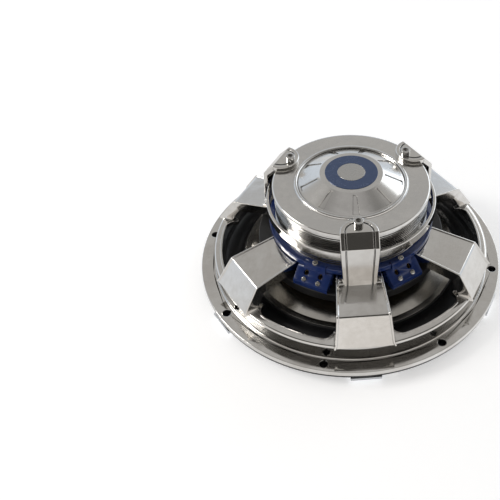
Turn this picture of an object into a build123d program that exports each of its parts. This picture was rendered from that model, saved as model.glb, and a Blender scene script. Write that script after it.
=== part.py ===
"""Ten inch car subwoofer driver, lying face down: front at z = 0, motor on top, cone axis on Z."""

import math
import os

from build123d import *

# Driving dimensions, in mm. Radii are from the cone axis, heights from the front faces of the trim clips.
flange_r = 132.5
flange_front_z = 9.0
flange_rear_z = 13.5
hole_pcd_r = 126.0
hole_r = 3.5
hole_count = 8
hole_start_deg = 30.0
countersink_r = 6.0
ledge_r = 122.0
ledge_z = 12.0
drum_r = 120.0
drum_bore_r = 115.5
sill_z = 29.0
sill_inner_r = 113.0
sill_thickness = 3.5

strap_count = 6
front_deg = -90.0
strap_foot_r = 120.0
strap_foot_step = 0.8
knee_r = 105.75
knee_z = 49.3
strap_inner_r = 61.0
strap_inner_z = 55.0
strap_half_foot = 23.4
strap_half_knee = 21.2
strap_half_inner = 18.0
strap_skin = 4.0
strap_depth = 8.5
strap_wall = 3.2
lip_height = 0.9
lip_width = 1.4
corner_r = 8.0

hub_r = 64.0
hub_rim_inner_r = 57.0
hub_rim_z = 43.0
hub_plate_z = 54.0
hub_top_z = 58.0
hub_bore_r = 34.0
hub_bolt_pcd_r = 44.0
hub_bolt_count = 6

trim_front_z = 6.0
trim_inner_r = 122.2
trim_outer_r = 131.9
trim_screw_pcd_r = 126.3
trim_screw_spread_deg = 20.0
trim_head_r = 3.6
clip_half_flat = 12.4
clip_half_block = 13.7
clip_bevel = 3.8
clip_inner_r = 100.5
clip_step_r = 119.4
clip_outer_r = 132.3

surround_inner_r = 94.0
surround_outer_r = 115.0
surround_foot_z = 10.8
surround_base_z = 16.2
surround_crest_z = 8.2
surround_skin = 1.2
dish_r = 93.6
dish_flat_r = 83.8
dish_front_z = 11.5
dish_skin = 0.9
cone_edge_z = 18.6
cone_neck_r = 25.6
cone_neck_z = 35.6
cone_skin = 0.8

former_inner_r = 25.4
former_skin = 0.3
winding_bottom_z = 50.0
winding_top_z = 74.0
winding_layer = 0.8

landing_outer_r = 80.0
landing_inner_r = 58.0
landing_top_z = 43.0
landing_skirt_z = 35.0
spider_z = 40.0
spider_outer_r = 76.8
spider_skin = 0.7

plate_r = 58.5
front_plate_top_z = 66.0
gap_outer_r = 28.2
magnet_r = 60.0
magnet_bore_r = 33.0
magnet_top_z = 86.0
yoke_r = 59.0
yoke_top_z = 92.0
pole_r = 24.3
pole_bottom_z = 57.0
sleeve_skin = 0.5

cover_r = 64.4
cover_inner_r = 60.6
fin_count = 15
fin_pitch = 1.9
fin_gap = 0.8
fin_depth = 1.0

cap_r = 65.6
cap_flat_z = 95.5
cap_edge_round = 2.6
ridge_mid_r = 46.0
ridge_r = 1.6
boss_foot_r = 44.0
boss_top_r = 26.0
boss_top_z = 105.0
boss_skin = 3.0
groove_count = 9
groove_depth = 0.9
label_r = 21.8
label_inner_r = 11.4
label_skin = 0.4

arm_count = 3
arm_skin = 4.0
arm_shoulder_r = 66.0
arm_leg_top_r = 75.2
arm_leg_top_z = 89.3
arm_half_top = 15.2
arm_half_foot = 13.9
arm_taper_top_z = 84.0
arm_taper_foot_z = 60.0
arm_foot_r = 77.6
arm_panel_half = 10.4
arm_groove = 1.1
arm_groove_depth = 0.8
lug_screw_r = 56.8
screw_head_r = 4.0
screw_head_height = 4.0
ear_reach = 3.3
ear_length = 6.0
ear_height = 2.0
ear_screw_t = 15.5
ear_screw_r = 1.4
hoop_inner_r = 68.7
hoop_outer_r = 71.2
hoop_bottom_z = 73.0
hoop_top_z = 81.0

block_window_deg = 30.0
block_half = 15.0
wire_spacing = 12.4
wire_hole_r = 2.3
wire_hole_depth = 9.0
clamp_screw_r = 1.9
clamp_screw_bore_r = 1.96
clamp_screw_bore_depth = 6.0
clamp_screw_depth = 4.2
clamp_screw_proud = 1.2
upper_tier_r = 70.3


def strap_line(r):
    """Height of the strap's upper facet at a radius inside the knee."""
    return strap_inner_z + (knee_z - strap_inner_z) * (r - strap_inner_r) / (knee_r - strap_inner_r)


def turned(points):
    """Solid of revolution about Z from a closed outline of (radius, height) points."""
    face = make_face(Polyline(*points, close=True))
    return revolve(Plane.XZ * face, Axis.Z, 360)


def ring(inner_r, outer_r, low, high):
    points = [(inner_r, low), (outer_r, low), (outer_r, high), (inner_r, high)]
    return turned(points)


def disc(r, low, high):
    return Pos(0, 0, low) * extrude(Circle(r), high - low)


def side_plate(points, half):
    """Outline in the (radius, height) plane of +X, as thick as twice half, centred on the plane."""
    face = make_face(Polyline(*points, close=True))
    return extrude(Plane.XZ * face, half, both=True)


def plan_prism(points, low, high):
    """Outline in plan, between two heights."""
    face = make_face(Polyline(*points, close=True))
    return Pos(0, 0, low) * extrude(face, high - low)


def spun(shape, count, start_deg=0.0):
    """Copies of a shape at even steps round the axis."""
    return [Rot(0, 0, start_deg + 360.0 * k / count) * shape for k in range(count)]


def save(shape, name):
    """Writes one node: a single solid, or a group of separate ones."""
    if isinstance(shape, (list, tuple)):
        shape = Compound(children=[s.solid() for s in shape])
    elif len(shape.solids()) == 1:
        shape = shape.solid()
    else:
        shape = Compound(children=list(shape.solids()))
    export_step(shape, f"parts/{name}.step")


# Basket: flange, drum wall, window sill, six channel straps and the motor hub in one casting.


def strap_profile(lift, depth):
    """Side outline of a strap: its outer face raised by lift, and depth mm deep below the plain face."""
    slope = math.atan2(knee_z - sill_z, strap_foot_r - knee_r)
    up = (lift * math.sin(slope), lift * math.cos(slope))
    outer_foot = (strap_foot_r, sill_z - 1.0 + lift)
    outer_knee = (knee_r + 0.5 * up[0], knee_z + lift)
    outer_end = (strap_inner_r, strap_inner_z + lift)
    inner_end = (strap_inner_r, strap_inner_z - depth)
    inner_knee = (knee_r - 0.62 * depth, knee_z - depth)
    inner_foot = (strap_foot_r - 1.3 * depth, sill_z - 2.0)
    base = (strap_foot_r, sill_z - 2.0)
    return [outer_foot, outer_knee, outer_end, inner_end, inner_knee, inner_foot, base]


def strap_plan(inset, low=20.0, high=70.0):
    """Tapered plan of a strap, drawn in by inset along both long sides."""
    halves = [
        (strap_foot_r + 1.0, strap_half_foot - inset),
        (knee_r, strap_half_knee - inset),
        (strap_inner_r - 1.0, strap_half_inner - inset),
    ]
    return plan_prism(halves + [(r, -h) for r, h in reversed(halves)], low, high)


def strap():
    skin = side_plate(strap_profile(0.0, strap_skin), 30.0) & strap_plan(0.0)
    walls = side_plate(strap_profile(0.0, strap_depth), 30.0) & (strap_plan(0.0) - strap_plan(strap_wall))
    lips = side_plate(strap_profile(lip_height, 1.0), 30.0) & (strap_plan(0.0) - strap_plan(lip_width))
    return (skin + walls + lips) & ring(strap_inner_r, strap_foot_r - strap_foot_step, 20.0, 70.0)


def window_corner(side):
    """Web that rounds the corner between a strap's long side and the sill, in plan."""
    half = strap_half_foot - 0.7
    centre_t = half + corner_r
    centre_r = math.sqrt((sill_inner_r - corner_r) ** 2 - centre_t**2)
    lean = math.atan2(centre_t, centre_r)
    curve = []
    for k in range(6):
        a = -0.5 * math.pi + (lean + 0.5 * math.pi) * k / 5
        curve.append((centre_r + corner_r * math.cos(a), centre_t + corner_r * math.sin(a)))
    curve[-1] = (curve[-1][0] + 0.8, curve[-1][1] + 0.4)
    back = [(curve[-1][0] + 2.0, curve[-1][1]), (sill_inner_r + 2.0, half - 3.0), (centre_r, half - 3.0)]
    return plan_prism([(r, side * t) for r, t in curve + back], sill_z - sill_thickness + 0.3, sill_z - 0.3)


def basket():
    flange = turned(
        [
            (drum_bore_r, ledge_z),
            (ledge_r, ledge_z),
            (ledge_r, flange_front_z),
            (flange_r - 0.6, flange_front_z),
            (flange_r, flange_front_z + 0.6),
            (flange_r, flange_rear_z - 1.6),
            (flange_r - 0.5, flange_rear_z - 0.5),
            (flange_r - 1.6, flange_rear_z),
            (drum_r + 1.2, flange_rear_z),
            (drum_r + 0.4, flange_rear_z + 0.4),
            (drum_r, flange_rear_z + 1.2),
            (drum_r, sill_z - 1.2),
            (drum_r - 0.4, sill_z - 0.4),
            (drum_r - 1.2, sill_z),
            (sill_inner_r + 0.5, sill_z),
            (sill_inner_r, sill_z - 0.5),
            (sill_inner_r, sill_z - sill_thickness),
            (drum_bore_r, sill_z - sill_thickness - 1.0),
        ]
    )
    hub = turned(
        [
            (hub_rim_inner_r, hub_rim_z),
            (hub_r, hub_rim_z),
            (hub_r, hub_top_z - 0.8),
            (hub_r - 0.8, hub_top_z),
            (hub_bore_r, hub_top_z),
            (hub_bore_r, hub_plate_z),
            (hub_rim_inner_r, hub_plate_z),
        ]
    )
    corners = [c for side in (-1, 1) for c in spun(window_corner(side), strap_count, front_deg)]
    body = flange + ([hub] + spun(strap(), strap_count, front_deg) + corners)
    hole = Pos(hole_pcd_r, 0, 0) * disc(hole_r, 0.0, 20.0)
    sink_outline = [(0, -1), (countersink_r, -1), (countersink_r, 0), (hole_r, 2.5), (0, 2.5)]
    sink = Pos(hole_pcd_r, 0, flange_front_z) * turned(sink_outline)
    bolt_hole = Pos(hub_bolt_pcd_r, 0, 0) * disc(2.6, 50.0, 62.0)
    pilot = Pos(trim_screw_pcd_r, 0, 0) * disc(1.5, 5.0, flange_rear_z - 1.0)
    cuts = spun(hole + sink, hole_count, hole_start_deg) + spun(bolt_hole, hub_bolt_count)
    return body - (cuts + [Rot(0, 0, angle) * pilot for angle in trim_screw_angles()])


# Front trim.


def trim_screw_angles():
    """Pairs of screws between clips, in every second gap."""
    return [mid + s * trim_screw_spread_deg for mid in (60.0, 180.0, 300.0) for s in (-1, 1)]


def trim_ring():
    body = turned(
        [
            (trim_inner_r, trim_front_z + 0.5),
            (trim_inner_r + 0.5, trim_front_z),
            (trim_outer_r - 0.8, trim_front_z),
            (trim_outer_r, trim_front_z + 0.8),
            (trim_outer_r, flange_front_z),
            (trim_inner_r, flange_front_z),
        ]
    )
    for angle in trim_screw_angles():
        place = Rot(0, 0, angle) * Pos(trim_screw_pcd_r, 0, 0)
        body -= place * disc(1.7, 0.0, 12.0)
        body -= place * disc(trim_head_r + 0.3, 0.0, trim_front_z + 1.2)
    return body


def trim_screws():
    head = disc(trim_head_r, trim_front_z + 0.2, trim_front_z + 1.2)
    head += disc(1.45, trim_front_z + 1.2, flange_rear_z - 1.6)
    slot = Pos(0, 0, trim_front_z + 0.2) * (Box(4.0, 0.8, 1.0) + Box(0.8, 4.0, 1.0))
    screw = Pos(trim_screw_pcd_r, 0, 0) * (head - slot)
    return [Rot(0, 0, angle) * screw for angle in trim_screw_angles()]


def trim_clip():
    """Flat tab on the trim ring with a bevelled block reaching in over the surround."""
    outline = [
        (clip_inner_r, 3.0),
        (clip_inner_r + 2.6, 0.0),
        (clip_step_r - 2.6, 0.0),
        (clip_step_r, 3.0),
        (clip_outer_r - 0.5, 3.0),
        (clip_outer_r, 3.5),
        (clip_outer_r, trim_front_z),
        (trim_inner_r + 0.6, trim_front_z),
        (trim_inner_r + 0.6, 4.2),
        (clip_inner_r, 4.2),
    ]
    body = side_plate(outline, clip_half_block)
    wide = clip_half_block + 1.0
    bevel = [(clip_half_block - clip_bevel, -0.01), (wide, -0.01), (wide, 4.2), (clip_half_block, 3.6)]
    bevel_face = Plane.YZ * make_face(Polyline(*bevel, close=True))
    cut = Pos(clip_inner_r - 1, 0, 0) * extrude(bevel_face, clip_step_r + 1 - clip_inner_r)
    body -= cut
    body -= mirror(cut, Plane.XZ)
    for side in (-1, 1):
        body -= Pos(clip_step_r + 8, side * (clip_half_flat + 5), 3) * Box(16, 10, 12)
    pocket = Box(clip_step_r - clip_inner_r - 7.4, 2 * (clip_half_block - clip_bevel) - 1.6, 1.0)
    return body - Pos((clip_inner_r + clip_step_r) / 2, 0, 0) * pocket


# Moving assembly: dish, cone, former and two coil layers.


def dish():
    """Shallow aluminium front with a rolled-back rim."""
    steps = 8
    depth = cone_edge_z - 1.2 - dish_front_z
    rim = []
    for k in range(steps + 1):
        a = 0.5 * math.pi * k / steps
        r = dish_flat_r + (dish_r - dish_flat_r) * math.sin(a)
        rim.append((r, dish_front_z + depth * (1 - math.cos(a))))
    outer = [(0.0, dish_front_z)] + rim
    inner = [(max(r - dish_skin, 0.0) if r > dish_flat_r + 1 else r, z + dish_skin) for r, z in outer]
    inner[-1] = (dish_r - dish_skin, outer[-1][1])
    return turned(outer + list(reversed(inner)))


def cone():
    edge = (dish_r - 0.2, cone_edge_z)
    neck = (cone_neck_r + 1.3, cone_neck_z)
    return turned(
        [
            edge,
            (dish_r - 5.5, cone_edge_z),
            (cone_neck_r + 1.3, neck[1] - 3.4),
            (cone_neck_r + 0.15, neck[1] - 3.4),
            (cone_neck_r + 0.15, neck[1] + 1.2),
            (cone_neck_r + 1.3, neck[1] + 1.2),
            neck,
            (dish_r - 5.2, cone_edge_z + cone_skin),
            (dish_r - 0.2, cone_edge_z + cone_skin),
        ]
    )


def former():
    return ring(former_inner_r, former_inner_r + former_skin, cone_neck_z - 4.0, winding_top_z)


def winding(layer):
    inner = former_inner_r + former_skin + layer * winding_layer
    return ring(inner, inner + winding_layer, winding_bottom_z, winding_top_z)


def roll_arc(half, rise, end_z):
    """Arc of the roll from the dish side over the crest, down to the height of its outer foot."""
    steps = 16
    mid = 0.5 * (surround_inner_r + surround_outer_r)
    end = math.pi - math.asin((surround_base_z - end_z) / rise)
    angles = [end * k / steps for k in range(steps + 1)]
    return [(mid - half * math.cos(a), surround_base_z - rise * math.sin(a)) for a in angles]


def surround():
    """Half roll, crest towards the front, between the dish rim and the basket ledge."""
    half = 0.5 * (surround_outer_r - surround_inner_r)
    rise = surround_base_z - surround_crest_z
    outer = roll_arc(half, rise, surround_foot_z)
    inner = roll_arc(half - surround_skin, rise - surround_skin, ledge_z)
    foot_r = ledge_r - 0.3
    front = [(dish_r - 5.0, cone_edge_z - 1.2), (surround_inner_r, cone_edge_z - 1.2)] + outer
    back = [(foot_r, surround_foot_z), (foot_r, ledge_z)] + list(reversed(inner))
    back += [(surround_inner_r + 0.6, cone_edge_z), (dish_r - 5.0, cone_edge_z)]
    return turned(front + back)


def spider():
    """Corrugated cloth disc from the former out to the landing ring."""
    neck = former_inner_r + former_skin
    waves = 6
    start = neck + 3.0
    end = spider_outer_r - 6.0
    steps = waves * 8
    top = []
    for k in range(steps + 1):
        r = start + (end - start) * k / steps
        top.append((r, spider_z + 1.3 * math.sin(2 * math.pi * waves * k / steps)))
    top = [(neck, spider_z)] + top + [(spider_outer_r, spider_z)]
    low = [(r, z - spider_skin) for r, z in reversed(top)]
    return turned(top + low)


def landing_ring():
    return turned(
        [
            (landing_inner_r, spider_z + 1.6),
            (spider_outer_r - 5.6, spider_z + 1.6),
            (spider_outer_r - 5.6, spider_z),
            (spider_outer_r + 0.3, spider_z),
            (spider_outer_r + 0.3, landing_skirt_z),
            (landing_outer_r, landing_skirt_z),
            (landing_outer_r, landing_top_z - 0.8),
            (landing_outer_r - 0.8, landing_top_z),
            (landing_inner_r, landing_top_z),
        ]
    )


# Motor.


def front_plate():
    body = ring(gap_outer_r, plate_r, hub_top_z, front_plate_top_z)
    for one in spun(Pos(hub_bolt_pcd_r, 0, 0) * disc(2.45, 50.0, 64.5), hub_bolt_count):
        body -= one
    return body


def hub_bolts():
    bolt = disc(2.4, 50.5, 64.0) + disc(4.2, hub_plate_z - 3.2, hub_plate_z)
    bolt -= Pos(0, 0, hub_plate_z - 3.2) * extrude(RegularPolygon(2.3, 6), 2.0)
    return spun(Pos(hub_bolt_pcd_r, 0, 0) * bolt, hub_bolt_count)


def magnet():
    return ring(magnet_bore_r, magnet_r, front_plate_top_z, magnet_top_z)


def yoke():
    """Back plate and pole in one turning, with three blind holes for the clamp screws."""
    body = turned(
        [
            (0.0, pole_bottom_z),
            (pole_r - 1.0, pole_bottom_z),
            (pole_r, pole_bottom_z + 1.0),
            (pole_r, magnet_top_z),
            (yoke_r, magnet_top_z),
            (yoke_r, yoke_top_z),
            (0.0, yoke_top_z),
        ]
    )
    holes = spun(Pos(lug_screw_r, 0, 0) * disc(2.5, yoke_top_z - 5.0, yoke_top_z + 1.0), arm_count, front_deg)
    return body - holes


def shorting_sleeve():
    return ring(pole_r, pole_r + sleeve_skin, pole_bottom_z + 2.0, magnet_top_z - 0.5)


def magnet_cover():
    """Sleeve round the magnet with fine fins."""
    outline = [(cover_inner_r, hub_top_z), (cover_r, hub_top_z)]
    z = yoke_top_z - 1.6 - fin_count * fin_pitch
    for _ in range(fin_count):
        outline += [(cover_r, z), (cover_r - fin_depth, z)]
        outline += [(cover_r - fin_depth, z + fin_gap), (cover_r, z + fin_gap)]
        z += fin_pitch
    outline += [(cover_r, yoke_top_z), (cover_inner_r, yoke_top_z)]
    return turned(outline)


def rear_cap():
    """Rear cover: rounded edge, ridge, grooved cone and flat centre."""
    slope = (boss_top_z - cap_flat_z) / (boss_foot_r - boss_top_r)
    outline = [(0.0, boss_top_z), (boss_top_r, boss_top_z), (boss_foot_r, cap_flat_z)]
    for k in range(9):
        a = math.pi * (1 - k / 8)
        outline.append((ridge_mid_r + ridge_r * math.cos(a), cap_flat_z + ridge_r * math.sin(a)))
    outline.append((cap_r - cap_edge_round, cap_flat_z))
    for k in range(1, 7):
        a = 0.5 * math.pi * (1 - k / 6)
        r = cap_r - cap_edge_round + cap_edge_round * math.cos(a)
        outline.append((r, cap_flat_z - cap_edge_round + cap_edge_round * math.sin(a)))
    outline += [(cap_r, yoke_top_z), (boss_foot_r - 4.5, yoke_top_z)]
    outline += [(boss_top_r - 1.0, boss_top_z - boss_skin), (0.0, boss_top_z - boss_skin)]
    body = turned(outline)
    far = boss_foot_r - 1.5
    near = boss_top_r + 1.5
    skin_cut = turned(
        [
            (near, boss_top_z - slope * (near - boss_top_r) - groove_depth),
            (near, boss_top_z + 2.0),
            (far, boss_top_z + 2.0),
            (far, boss_top_z - slope * (far - boss_top_r) - groove_depth),
        ]
    )
    wedge = plan_prism([(near - 1, 1.3), (far + 1, 3.0), (far + 1, -3.0), (near - 1, -1.3)], 90.0, 110.0)
    for one in spun(skin_cut & wedge, groove_count, front_deg):
        body -= one
    for one in spun(Pos(lug_screw_r, 0, 0) * disc(2.6, 90.0, 100.0), arm_count, front_deg):
        body -= one
    return body


# Clamp cage.


def inset(points, distance):
    """Open outline in the (radius, height) plane moved sideways, to the right of its direction."""
    moved = []
    for (r0, z0), (r1, z1) in zip(points, points[1:]):
        length = math.hypot(r1 - r0, z1 - z0)
        out = ((z1 - z0) / length * distance, -(r1 - r0) / length * distance)
        moved.append(((r0 + out[0], z0 + out[1]), (r1 + out[0], z1 + out[1])))
    corners = [moved[0][0]]
    for (a, b), (c, d) in zip(moved, moved[1:]):
        u = (b[0] - a[0], b[1] - a[1])
        v = (d[0] - c[0], d[1] - c[1])
        share = ((c[0] - a[0]) * v[1] - (c[1] - a[1]) * v[0]) / (u[0] * v[1] - u[1] * v[0])
        corners.append((a[0] + share * u[0], a[1] + share * u[1]))
    return corners + [moved[-1][1]]


def arm_line():
    """Outer side of an arm: flat lug, sloping shoulder and leg down to the strap's facet."""
    foot_z = strap_line(arm_foot_r)
    lug_top_z = cap_flat_z + arm_skin
    lug = [(40.0, lug_top_z), (arm_shoulder_r, lug_top_z)]
    return lug + [(arm_leg_top_r, arm_leg_top_z), (arm_foot_r, foot_z)]


def arm_band(lift, depth):
    """Closed side outline between two parallels of the arm's outer side."""
    outer = inset(arm_line(), -lift)
    inner = inset(arm_line(), depth)
    outer[-1] = (outer[-1][0], strap_line(outer[-1][0]))
    inner[-1] = (inner[-1][0], strap_line(inner[-1][0]))
    return outer + list(reversed(inner))


def arm():
    plan = plan_prism(
        [
            (arm_shoulder_r, arm_half_top),
            (arm_foot_r + 3.0, arm_half_top),
            (arm_foot_r + 3.0, -arm_half_top),
            (arm_shoulder_r, -arm_half_top),
        ],
        40.0,
        110.0,
    )
    plan += Pos(arm_shoulder_r, 0, 0) * disc(arm_half_top, 40.0, 110.0)
    right = [(arm_half_foot, 40.0), (arm_half_foot, arm_taper_foot_z)]
    right += [(arm_half_top, arm_taper_top_z), (arm_half_top, 110.0)]
    taper = Plane.YZ * make_face(Polyline(*right, *[(-t, z) for t, z in reversed(right)], close=True))
    body = side_plate(arm_band(0.0, arm_skin), 25.0) & plan & Pos(40.0, 0, 0) * extrude(taper, 50.0)
    band = side_plate(arm_band(0.5, arm_groove_depth), 25.0)
    for side in (-1, 1):
        middle = side * (arm_panel_half + 0.5 * arm_groove)
        body -= band & (Pos(arm_shoulder_r + 10.0, middle, 72.0) * Box(20.0, arm_groove, 64.0))
    arch = ring(arm_panel_half, arm_panel_half + arm_groove, cap_flat_z, 110.0)
    arch &= Pos(-10.0, 0, 100.0) * Box(20.0, 40.0, 20.0)
    body -= band & (Pos(arm_shoulder_r, 0, 0) * arch)
    body -= Pos(lug_screw_r, 0, 0) * disc(2.6, 90.0, 110.0)
    for side in (-1, 1):
        ear_r = arm_foot_r - 0.5 * ear_length
        outline = [(arm_foot_r - ear_length, 0.0), (arm_foot_r, 0.0)]
        ear = [(r, strap_line(r)) for r, _ in outline]
        ear += [(r, strap_line(r) + ear_height) for r, _ in reversed(outline)]
        ear_middle = side * (arm_half_foot + 0.5 * ear_reach - 1.0)
        tab = Pos(0, ear_middle, 0) * side_plate(ear, 0.5 * ear_reach + 1.0)
        tab -= Pos(ear_r, side * ear_screw_t, 0) * disc(0.9, 40.0, 70.0)
        body += tab
    return body


def lug_screws():
    """Socket-head screws through the lugs and the cap into the back plate."""
    top = cap_flat_z + arm_skin
    screw = disc(screw_head_r, top, top + screw_head_height - 0.4)
    screw += Pos(0, 0, top + screw_head_height - 0.4) * extrude(Circle(screw_head_r), 0.4, taper=40)
    screw += disc(2.45, yoke_top_z - 4.5, top)
    screw -= Pos(0, 0, top + 1.2) * extrude(RegularPolygon(2.3, 6), 5.0)
    return spun(Pos(lug_screw_r, 0, 0) * screw, arm_count, front_deg)


def foot_screws():
    out = []
    r = arm_foot_r - 0.5 * ear_length
    top = strap_line(r) + ear_height
    head = disc(ear_screw_r, top + 0.3, top + 1.8) + disc(0.8, strap_line(r) + 0.3, top + 0.3)
    head -= Pos(0, 0, top + 1.8) * (Box(2.0, 0.5, 1.2) + Box(0.5, 2.0, 1.2))
    for side in (-1, 1):
        one = Pos(r, side * ear_screw_t, 0) * head
        out += spun(one, arm_count, front_deg)
    return out


def hoop():
    return turned(
        [
            (hoop_inner_r, hoop_bottom_z),
            (hoop_outer_r - 0.5, hoop_bottom_z),
            (hoop_outer_r, hoop_bottom_z + 0.5),
            (hoop_outer_r, hoop_top_z - 0.5),
            (hoop_outer_r - 0.5, hoop_top_z),
            (hoop_inner_r, hoop_top_z),
        ]
    )


# Terminals.

block_face_top = (70.5, 54.6)
block_face_low = (77.8, 48.4)
block_ledge = (79.4, 47.2)


def face_frame():
    """Unit vectors of the sloping face in the (radius, height) plane: down the face, and out of it."""
    dr = block_face_low[0] - block_face_top[0]
    dz = block_face_low[1] - block_face_top[1]
    length = math.hypot(dr, dz)
    return (dr / length, dz / length), (-dz / length, dr / length)


def block_tool(r, radius, length, outward=1.0):
    """Cylinder square to the sloping face, ending at the face point of this radius."""
    _, out = face_frame()
    share = (r - block_face_top[0]) / (block_face_low[0] - block_face_top[0])
    z = block_face_top[1] + share * (block_face_low[1] - block_face_top[1])
    tilt = math.degrees(math.atan2(out[0], out[1]))
    start = (r - out[0] * length, z - out[1] * length)
    rod = extrude(Circle(radius), length + outward)
    return Pos(start[0], 0, start[1]) * Rot(0, tilt, 0) * rod


def terminal_block():
    lower = side_plate(
        [
            (66.0, landing_top_z),
            (79.4, landing_top_z),
            block_ledge,
            block_face_low,
            block_face_top,
            (69.0, 55.6),
            (66.0, 55.6),
        ],
        block_half,
    )
    front = [(upper_tier_r, 50.0), (upper_tier_r, 60.6), (upper_tier_r - 0.8, 61.4)]
    upper = side_plate([(66.6, 50.0)] + front + [(66.6, 61.4)], 9.5)
    body = lower + upper
    for t in (-0.5 * wire_spacing, 0.5 * wire_spacing):
        body -= Pos(0, t, 0) * block_tool(72.6, wire_hole_r, wire_hole_depth)
        body -= Pos(0, t, 0) * block_tool(77.0, clamp_screw_bore_r, clamp_screw_bore_depth)
    body -= Pos(68.8, 0, 0) * disc(1.3, 55.0, 62.0)
    return body


def terminal_contacts():
    """Brass cages behind the wire holes."""
    tube = block_tool(72.6, wire_hole_r - 0.05, wire_hole_depth, -3.4)
    tube -= block_tool(72.6, wire_hole_r - 0.2, wire_hole_depth + 1.0)
    return [Pos(0, t, 0) * tube for t in (-0.5 * wire_spacing, 0.5 * wire_spacing)]


def clamp_screw(t):
    rod = block_tool(77.0, clamp_screw_r, clamp_screw_depth, clamp_screw_proud)
    _, out = face_frame()
    head_end = Pos(77.0 + clamp_screw_proud * out[0], 0, face_z(77.0) + clamp_screw_proud * out[1])
    slot = head_end * Rot(0, math.degrees(math.atan2(out[0], out[1])), 0) * Box(0.6, 5.0, 1.4)
    return Pos(0, t, 0) * (rod - slot)


def face_z(r):
    share = (r - block_face_top[0]) / (block_face_low[0] - block_face_top[0])
    return block_face_top[1] + share * (block_face_low[1] - block_face_top[1])


def link_screw():
    """Pan-head screw on top of the block."""
    head = disc(2.3, 61.4, 63.2) + disc(1.2, 56.0, 61.4)
    return Pos(68.8, 0, 0) * (head - Pos(0, 0, 63.2) * Box(0.7, 5.0, 1.4))


def terminal_ring():
    """Carrier ring at the foot of the motor, clear of the straps."""
    body = ring(cover_r + 0.1, 70.0, 56.2, 61.0)
    notch = side_plate([(66.4, 50.0), (75.0, 50.0), (75.0, 65.0), (66.4, 65.0)], 9.8)
    return body - [Rot(0, 0, front_deg + s * block_window_deg) * notch for s in (-1, 1)]


def main():
    os.makedirs("parts", exist_ok=True)
    save(basket(), "basket")
    save(trim_ring(), "trim_ring")
    save(trim_screws(), "trim_ring_screws")
    for k, one in enumerate(spun(trim_clip(), strap_count, front_deg)):
        save(one, f"trim_clip_{k + 1}")
    save(dish(), "front_dish")
    save(cone(), "cone")
    save(former(), "coil_former")
    save(winding(0), "coil_winding_inner")
    save(winding(1), "coil_winding_outer")
    save(surround(), "surround")
    save(spider(), "spider")
    save(landing_ring(), "spider_landing_ring")
    save(front_plate(), "front_plate")
    save(hub_bolts(), "hub_bolts")
    save(magnet(), "magnet_ring")
    save(yoke(), "back_plate_and_pole")
    save(shorting_sleeve(), "shorting_sleeve")
    save(magnet_cover(), "magnet_cover")
    save(rear_cap(), "rear_cap")
    save(ring(label_inner_r, label_r, boss_top_z, boss_top_z + label_skin), "label_ring")
    save(disc(label_inner_r - 0.2, boss_top_z, boss_top_z + 0.5 * label_skin), "label_disc")
    for k, one in enumerate(spun(arm(), arm_count, front_deg)):
        save(one, f"clamp_arm_{k + 1}")
    save(hoop(), "clamp_hoop")
    save(lug_screws(), "clamp_lug_screws")
    save(foot_screws(), "clamp_foot_screws")
    save(terminal_ring(), "terminal_ring")
    for name, angle in (("left", front_deg - block_window_deg), ("right", front_deg + block_window_deg)):
        place = Rot(0, 0, angle)
        save(place * terminal_block(), f"terminal_block_{name}")
        save([place * one for one in terminal_contacts()], f"terminal_contacts_{name}")
        save(place * link_screw(), f"terminal_link_screw_{name}")
        for k, t in enumerate((-0.5 * wire_spacing, 0.5 * wire_spacing)):
            save(place * clamp_screw(t), f"terminal_clamp_screw_{name}_{k + 1}")


main()
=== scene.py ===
import math

import bmesh
import bpy
import numpy as np
from mathutils import Matrix, Vector


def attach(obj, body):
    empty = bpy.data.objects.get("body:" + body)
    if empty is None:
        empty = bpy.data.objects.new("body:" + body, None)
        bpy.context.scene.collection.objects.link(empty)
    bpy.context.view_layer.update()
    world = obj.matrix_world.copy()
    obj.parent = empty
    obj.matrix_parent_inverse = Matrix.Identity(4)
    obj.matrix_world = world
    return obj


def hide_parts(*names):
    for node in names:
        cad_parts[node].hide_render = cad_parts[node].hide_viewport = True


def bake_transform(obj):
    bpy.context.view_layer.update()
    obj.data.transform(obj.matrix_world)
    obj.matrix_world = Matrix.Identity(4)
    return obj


mm = 0.001
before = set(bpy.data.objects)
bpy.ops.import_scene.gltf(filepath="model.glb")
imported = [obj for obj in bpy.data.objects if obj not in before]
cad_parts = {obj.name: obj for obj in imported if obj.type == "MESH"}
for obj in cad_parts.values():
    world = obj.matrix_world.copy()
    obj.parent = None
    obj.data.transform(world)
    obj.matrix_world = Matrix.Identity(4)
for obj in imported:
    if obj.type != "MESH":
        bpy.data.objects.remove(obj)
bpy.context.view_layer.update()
print("frame loaded")

# Outlines and grids.


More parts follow.
